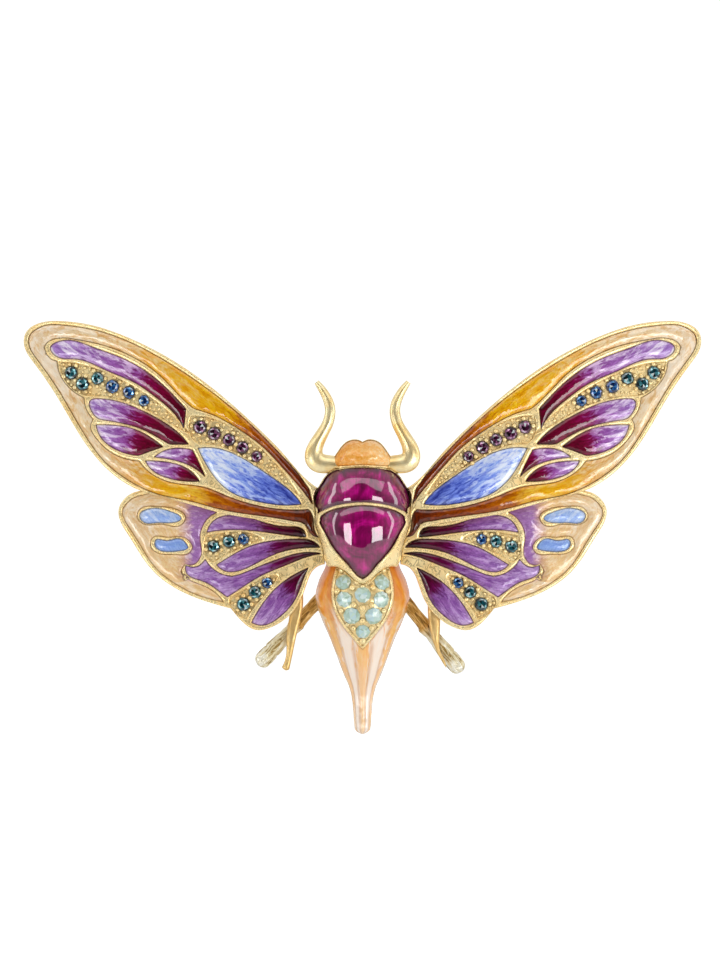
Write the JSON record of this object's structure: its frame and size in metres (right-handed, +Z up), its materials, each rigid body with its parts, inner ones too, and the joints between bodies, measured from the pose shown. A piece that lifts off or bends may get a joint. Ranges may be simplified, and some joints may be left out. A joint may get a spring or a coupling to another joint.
{
  "type": "winged insect brooch",
  "caption": "Gilt winged-insect brooch with enamelled wings and body, set stones, and a hinged pin on the back held by a turning barrel catch.",
  "frame": {"origin": "middle of the pin stem's exposed length, on its axis", "axes": "+X along the wings, to the viewer's right as worn; +Z up to the head; -Y out of the front, towards the viewer"},
  "size_m": [0.0902, 0.0143, 0.0548],
  "materials": {
    "gilt_casting": "pale gold plate, softly polished",
    "gilt_findings": "gold plate, tumbled",
    "gilt_steel": "gold-plated drawn steel wire",
    "peach_enamel": "pearly resin enamel, glossy",
    "lilac_enamel": "pearly resin enamel, glossy",
    "blue_enamel": "pearly resin enamel, glossy",
    "magenta_enamel": "deep translucent resin enamel, glossy",
    "orange_enamel": "pearly resin enamel, glossy",
    "teal_crystal": "faceted, foil-backed",
    "blue_crystal": "faceted, foil-backed",
    "violet_crystal": "faceted, foil-backed",
    "opal": "polished cabochon, milky"
  },
  "bodies": {
    "root": {"thorax_base": "gilt_casting", "thorax_upper_enamel": "magenta_enamel", "thorax_lower_enamel": "magenta_enamel", "head_base": "gilt_casting", "head_enamel": "orange_enamel", "abdomen_base": "gilt_casting", "abdomen_enamel": "orange_enamel", "abdomen_setting_plate": "gilt_casting", "opals": "opal", "left_hindwing_frame": "gilt_casting", "left_hindwing_border_enamel": "peach_enamel", "left_hindwing_eye_enamels": "blue_enamel", "left_hindwing_upper_enamel": "lilac_enamel", "left_hindwing_middle_enamel": "lilac_enamel", "left_hindwing_lower_enamel": "lilac_enamel", "left_hindwing_leaf_enamel": "lilac_enamel", "left_hindwing_teal_crystals": "teal_crystal", "left_hindwing_blue_crystals": "blue_crystal", "left_forewing_frame": "gilt_casting", "left_forewing_border_enamel": "peach_enamel", "left_forewing_tip_enamel": "lilac_enamel", "left_forewing_middle_enamel": "lilac_enamel", "left_forewing_lower_enamel": "lilac_enamel", "left_forewing_inner_enamel": "lilac_enamel", "left_forewing_corner_enamel": "lilac_enamel", "left_forewing_blue_enamel": "blue_enamel", "left_forewing_teal_crystals": "teal_crystal", "left_forewing_blue_crystals": "blue_crystal", "left_forewing_amethysts": "violet_crystal", "left_antenna": "gilt_casting", "left_middle_leg": "gilt_casting", "left_hind_leg": "gilt_casting", "right_hindwing_frame": "gilt_casting", "right_hindwing_border_enamel": "peach_enamel", "right_hindwing_eye_enamels": "blue_enamel", "right_hindwing_upper_enamel": "lilac_enamel", "right_hindwing_middle_enamel": "lilac_enamel", "right_hindwing_lower_enamel": "lilac_enamel", "right_hindwing_leaf_enamel": "lilac_enamel", "right_hindwing_teal_crystals": "teal_crystal", "right_hindwing_blue_crystals": "blue_crystal", "right_forewing_frame": "gilt_casting", "right_forewing_border_enamel": "peach_enamel", "right_forewing_tip_enamel": "lilac_enamel", "right_forewing_middle_enamel": "lilac_enamel", "right_forewing_lower_enamel": "lilac_enamel", "right_forewing_inner_enamel": "lilac_enamel", "right_forewing_corner_enamel": "lilac_enamel", "right_forewing_blue_enamel": "blue_enamel", "right_forewing_teal_crystals": "teal_crystal", "right_forewing_blue_crystals": "blue_crystal", "right_forewing_amethysts": "violet_crystal", "right_antenna": "gilt_casting", "right_middle_leg": "gilt_casting", "right_hind_leg": "gilt_casting", "pin_hinge_bracket": "gilt_findings", "pin_rivet": "gilt_findings", "catch_ring": "gilt_findings"},
    "pin": {"pin_stem": "gilt_steel"},
    "barrel": {"catch_barrel": "gilt_findings"}
  },
  "joints": [
    {"name": "pin_hinge", "type": "hinge", "parent": "root", "child": "pin", "pos_m": [-0.014, 0, 0], "axis": [0, 0, 1], "range_deg": [0, 80]},
    {"name": "catch_roll", "type": "hinge", "parent": "root", "child": "barrel", "pos_m": [0.0142, 0, 0], "axis": [1, 0, 0], "range_deg": [0, 120]}
  ]
}
